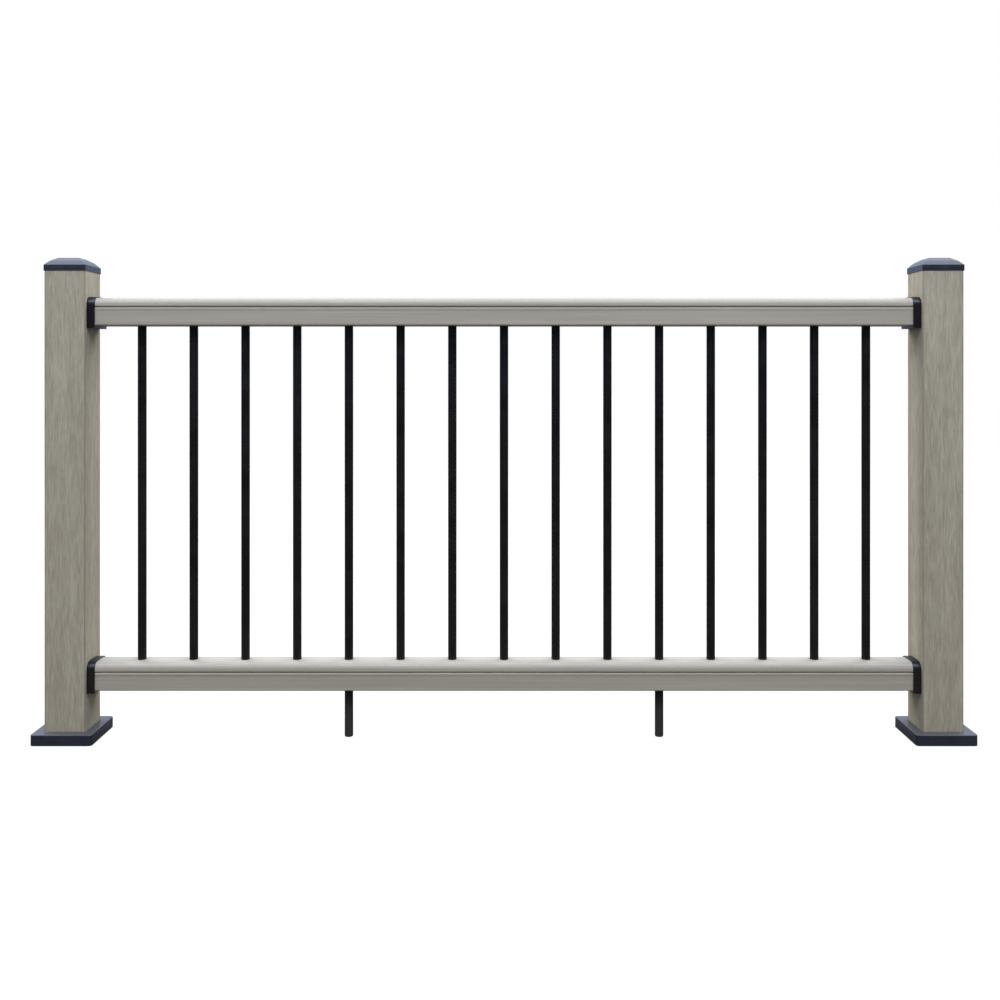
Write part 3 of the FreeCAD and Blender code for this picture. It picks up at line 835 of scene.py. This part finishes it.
@dataclass
class RailBracket:
    """Collar on the post that holds one end of a rail."""

    level: Level
    side: Side
    back: float = 4.0 * MM
    crown: float = 322.3 * MM
    shoulder: float = 18.0 * MM
    lower: float = 3.0 * MM
    cheek: float = 3.0 * MM
    lid: float = 2.0 * MM
    floor: float = 5.5 * MM
    rim: float = 1.3 * MM
    rim_land: float = 2.08 * MM
    rim_steps: int = 5
    mouth_depth: float = 0.4 * MM
    mouth_ease: float = 0.3 * MM
    socket_lower: float = 0.6 * MM

    def build(self, finishes: Finishes) -> bpy.types.Object:
        """Collar: the rail's outline grows out of the post, rounds over its rim and goes back inside.

        Args:
            finishes: Materials of the section.

        Returns:
            The collar.
        """
        node = f"{self.level.value}_{self.side.value}_bracket"
        low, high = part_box(node)
        half = (high.y - low.y) / 2
        reach = high.x - low.x
        turn = np.linspace(0.0, math.pi / 2, self.rim_steps + 1)
        rim_out = reach - self.rim + self.rim * np.sin(turn)
        rim_in = self.rim * (1 - np.cos(turn))
        out = np.concatenate([[0.0, reach - self.rim_land], rim_out])
        inset = np.concatenate([[0.0, 0.0], rim_in])
        outer = crowned_outline(half - inset, low.z + inset, high.z - inset, self.crown - inset,
                                self.shoulder - inset, self.lower - inset)
        # The socket: from the rim's inner edge back to the plate that the rail's end meets.
        deep = np.array([reach, reach - self.mouth_depth, self.back])
        ease = np.array([self.mouth_ease, 0.0, 0.0])
        wall = np.ones(3)
        inner = crowned_outline((half - self.cheek) * wall + ease, (low.z + self.floor) * wall - ease,
                                (high.z - self.lid) * wall + ease, (self.crown - self.lid) * wall,
                                (self.shoulder - self.cheek) * wall, self.socket_lower * wall)
        outlines = np.concatenate([outer, inner])
        along = np.concatenate([out, deep])[:, None]
        across = outlines[..., 0]
        if self.side is Side.LEFT:
            rings = np.stack([low.x + along + 0 * across, across, outlines[..., 1]], axis=-1)
        else:
            rings = np.stack([high.x - along + 0 * across, -across, outlines[..., 1]], axis=-1)
        return loft(f"{self.level.value}_{self.side.value}_collar", rings, False,
                    finishes.bracket, node)


@dataclass
class SupportFoot:
    """Short tube with a rounded closed end, between the deck and the bottom rail."""

    side: Side
    wall: float = 2.5 * MM
    tip: float = 2.4 * MM
    tip_land: float = 3.84 * MM
    tip_steps: int = 8
    around: int = 48

    def build(self, finishes: Finishes) -> bpy.types.Object:
        """Foot: a circle runs down inside the tube, round its top edge, down outside and round the tip.

        Args:
            finishes: Materials of the section.

        Returns:
            The foot.
        """
        node = f"{self.side.value}_support_foot"
        low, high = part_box(node)
        radius = (high.x - low.x) / 2
        centre = np.array([(low.x + high.x) / 2, (low.y + high.y) / 2, 0.0])
        tip = fillet((0.0, low.z), (radius, low.z), (radius, high.z), self.tip, self.tip_steps)
        bore = radius - self.wall
        section = np.concatenate([
            [[radius - self.tip_land, low.z]],
            tip,
            [[radius, low.z + self.tip_land], [radius, high.z], [bore, high.z], [bore, low.z + self.wall]],
        ])
        turn = np.arange(self.around) * (2 * math.pi / self.around)
        wide = section[:, 0, None]
        rings = np.stack([wide * np.cos(turn), wide * np.sin(turn),
                          section[:, 1, None] + 0 * turn], axis=-1) + centre
        return loft(f"{self.side.value}_foot", rings, False, finishes.foot, node)


class Infill:
    """The two rails and the row of balusters between them."""

    def build(self, finishes: Finishes) -> None:
        """Dress the rails and balusters of the frame.

        Args:
            finishes: Materials of the section.
        """
        for level in Level:
            dress_node(f"{level.value}_rail", finishes.rail)
        for node in sorted(frame["nodes"]):
            if node.startswith("baluster_"):
                dress_node(node, finishes.tube)


# Studio


def facing(direction: np.ndarray) -> tuple[float, float, float]:
    """Turn of a lamp or camera, which looks down its own -Z, so that it looks along a direction.

    Args:
        direction: Direction to look in.

    Returns:
        Euler angles in radians.
    """
    flat = math.hypot(direction[0], direction[1])
    tilt = math.atan2(flat, -direction[2])
    swing = math.atan2(-direction[0], direction[1])
    return tilt, 0.0, swing


@dataclass(frozen=True)
class SoftBox:
    """One large soft lamp that faces a point of the section."""

    name: str
    place: tuple[float, float, float]
    target: tuple[float, float, float]
    width: float
    height: float
    power: float
    mirrored: bool
    colour: str

    def build(self) -> None:
        """Hang the lamp; one that isn't mirrored lights the section without a glint on it."""
        lamp = bpy.data.lights.new(self.name, "AREA")
        lamp.shape = "RECTANGLE"
        lamp.size = self.width
        lamp.size_y = self.height
        lamp.energy = self.power
        lamp.color = linear(self.colour)[:3]
        holder = bpy.data.objects.new(self.name, lamp)
        bpy.context.scene.collection.objects.link(holder)
        aim = np.array(self.target) - np.array(self.place)
        holder.visible_glossy = self.mirrored
        holder.location = self.place
        holder.rotation_euler = facing(aim)


@dataclass
class Studio:
    """White backdrop, pale floor, a dome that is bright above, and lamps in front, above and behind.

    A lamp's place is how far behind the section's middle plane it hangs, and how high.
    """

    floor_half: float = 40.0
    floor_grey: str = "#5d5b57"
    floor_glow: float = 0.87
    sky: str = "#f3f6ff"
    horizon_light: float = 0.02
    zenith_light: float = 2.25
    mirror_sky: str = "#cfddff"
    mirror_low: float = 0.2
    mirror_high: float = 2.9
    mirror_high_range: tuple[float, float] = (0.3, 0.9)
    mirror_back: float = 1.1
    mirror_back_range: tuple[float, float] = (0.6, 0.95)
    aim_height: float = 0.6
    front_place: tuple[float, float] = (-3.6, 1.3)
    front_size: tuple[float, float] = (4.2, 2.4)
    front_power: float = 26.0
    front_tint: str = "#fff8ee"
    top_place: tuple[float, float] = (-1.3, 2.8)
    top_size: tuple[float, float] = (4.6, 1.2)
    top_power: float = 86.0
    top_tint: str = "#dde8ff"
    back_place: tuple[float, float] = (2.0, 4.4)
    back_aside: float = 3.4
    back_size: tuple[float, float] = (3.4, 3.4)
    back_power: float = 285.0

    def seen(self, tree: bpy.types.NodeTree, path: bpy.types.Node) -> bpy.types.NodeSocket:
        """Whether a ray shows the backdrop to the eye, straight or through glass.

        Args:
            tree: Node tree of the world or the floor.
            path: Light path node of that tree.

        Returns:
            A factor of one for such rays, and nought for reflections and for the light on the section.
        """
        return add_node(tree, "ShaderNodeMath", {
            0: path.outputs["Is Camera Ray"], 1: path.outputs["Is Transmission Ray"]},
            operation="MAXIMUM").outputs[0]

    def world(self) -> None:
        """Surroundings: white to the eye, and a dome that lights more from above than from the side.

        The dome's strength rises in a straight line with the height of the direction. Reflections show
        the bright overhead and the white behind the section, each through a smooth step, and a dim studio
        in front, so slopes and tops get a sheen and upright black faces stay black.
        """
        world = bpy.data.worlds.new("white studio")
        bpy.context.scene.world = world
        world.use_nodes = True
        tree = world.node_tree
        tree.nodes.clear()
        direction = add_node(tree, "ShaderNodeTexCoord").outputs["Generated"]
        parts = add_node(tree, "ShaderNodeSeparateXYZ", {0: direction})
        falling = add_node(tree, "ShaderNodeMapRange", {
            "Value": parts.outputs["Z"], "To Min": self.horizon_light,
            "To Max": self.zenith_light}).outputs["Result"]
        start, full = self.mirror_high_range
        overhead = add_node(tree, "ShaderNodeMapRange", {
            "Value": parts.outputs["Z"], "From Min": start, "From Max": full, "To Min": self.mirror_low,
            "To Max": self.mirror_high}, interpolation_type="SMOOTHSTEP").outputs["Result"]
        start, full = self.mirror_back_range
        behind = add_node(tree, "ShaderNodeMapRange", {
            "Value": parts.outputs["Y"], "From Min": start, "From Max": full, "To Min": self.mirror_low,
            "To Max": self.mirror_back}, interpolation_type="SMOOTHSTEP").outputs["Result"]
        mirrored = add_node(tree, "ShaderNodeMath", {
            0: overhead, 1: behind}, operation="MAXIMUM").outputs[0]
        path = add_node(tree, "ShaderNodeLightPath")
        glossy = path.outputs["Is Glossy Ray"]
        strength = add_node(tree, "ShaderNodeMix", {
            "Factor": glossy, "A": falling, "B": mirrored}, data_type="FLOAT").outputs["Result"]
        tint = add_node(tree, "ShaderNodeMix", {
            "Factor": glossy, 6: linear(self.sky), 7: linear(self.mirror_sky)},
            data_type="RGBA").outputs[2]
        dome = add_node(tree, "ShaderNodeBackground", {"Color": tint, "Strength": strength})
        white = add_node(tree, "ShaderNodeBackground", {"Color": linear(WHITE), "Strength": 1.0})
        mixed = add_node(tree, "ShaderNodeMixShader", {
            0: self.seen(tree, path), 1: dome.outputs[0], 2: white.outputs[0]})
        add_node(tree, "ShaderNodeOutputWorld", {"Surface": mixed.outputs[0]})

    def floor(self) -> None:
        """Floor: white to the eye except where the section shades it, and a mid grey to the light."""
        mesh = bpy.data.meshes.new("floor")
        corners = np.array([[-1, -1, 0], [1, -1, 0], [1, 1, 0], [-1, 1, 0]]) * self.floor_half
        mesh.from_pydata(corners.tolist(), [], [(0, 1, 2, 3)])
        material, tree, output = new_material("pale studio floor")
        matt = add_node(tree, "ShaderNodeBsdfDiffuse", {"Color": linear(self.floor_grey)})
        glow = add_node(tree, "ShaderNodeEmission", {"Color": linear(WHITE), "Strength": self.floor_glow})
        shown = add_node(tree, "ShaderNodeAddShader", {0: matt.outputs[0], 1: glow.outputs[0]})
        path = add_node(tree, "ShaderNodeLightPath")
        mixed = add_node(tree, "ShaderNodeMixShader", {
            0: self.seen(tree, path), 1: matt.outputs[0], 2: shown.outputs[0]})
        tree.links.new(mixed.outputs[0], output.inputs["Surface"])
        mesh.materials.append(material)
        floor = bpy.data.objects.new("floor", mesh)
        bpy.context.scene.collection.objects.link(floor)

    def build(self) -> None:
        """Set up the surroundings and the lamps.

        The lamp above is bluish, as a sky is, and the one in front is a little warm.
        """
        self.world()
        self.floor()
        aim = (MIDDLE, 0.0, self.aim_height)
        SoftBox("front box", (MIDDLE, *self.front_place), aim, *self.front_size, self.front_power,
                False, self.front_tint).build()
        SoftBox("top box", (MIDDLE, *self.top_place), aim, *self.top_size, self.top_power,
                True, self.top_tint).build()
        for side, way in ((Side.LEFT, -1), (Side.RIGHT, 1)):
            place = (MIDDLE + way * self.back_aside, *self.back_place)
            SoftBox(f"{side.value} back box", place, aim, *self.back_size, self.back_power,
                    False, WHITE).build()


@dataclass(frozen=True)
class Viewpoint:
    """Camera square in front of the section, with its horizon above the middle of the picture."""

    distance: float = 2.35
    pixel: float = 2.1832 * MM
    picture: float = 1000.0
    horizon_row: float = 375.0
    slide: float = 4.0
    seat_row: float = 270.6
    sensor: float = 36.0

    def build(self) -> None:
        """Place the camera by the left post, whose top falls on a given row of the picture."""
        front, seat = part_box("left_post_sleeve")
        lens = bpy.data.cameras.new("camera")
        lens.sensor_width = self.sensor
        lens.lens = self.sensor * self.distance / (self.pixel * self.picture)
        lens.shift_x = -self.slide / self.picture
        lens.shift_y = (self.horizon_row - self.picture / 2) / self.picture
        eye = bpy.data.objects.new("camera", lens)
        bpy.context.scene.collection.objects.link(eye)
        height = seat.z + (self.seat_row - self.horizon_row) * self.pixel
        eye.location = (MIDDLE, front.y - self.distance, height)
        eye.rotation_euler = (math.pi / 2, 0.0, 0.0)
        bpy.context.scene.camera = eye


def clear_stray() -> None:
    """Remove what a new Blender file holds besides the frame."""
    kept = set(frame["nodes"].values()) | set(frame["bodies"].values())
    for thing in [thing for thing in bpy.data.objects if thing not in kept]:
        bpy.data.objects.remove(thing)


def main() -> None:
    """Build the section's pieces in order, then the studio."""
    logging.basicConfig(level=logging.INFO, format="%(name)s %(message)s")
    clear_stray()
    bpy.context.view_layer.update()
    finishes = Finishes(
        post=POST_FINISH.material(), rail=RAIL_FINISH.material(), trim=TRIM_FINISH.material(),
        bracket=BRACKET_FINISH.material(), tube=TUBE_FINISH.material(), foot=FOOT_FINISH.material(),
        steel=STEEL_FINISH.material())
    for side in Side:
        Post(side).build(finishes)
        SupportFoot(side).build(finishes)
        for level in Level:
            RailBracket(level, side).build(finishes)
    Infill().build(finishes)
    Studio().build()
    Viewpoint().build()
    bpy.context.scene.view_settings.view_transform = "Standard"


if __name__ == "__main__":
    main()
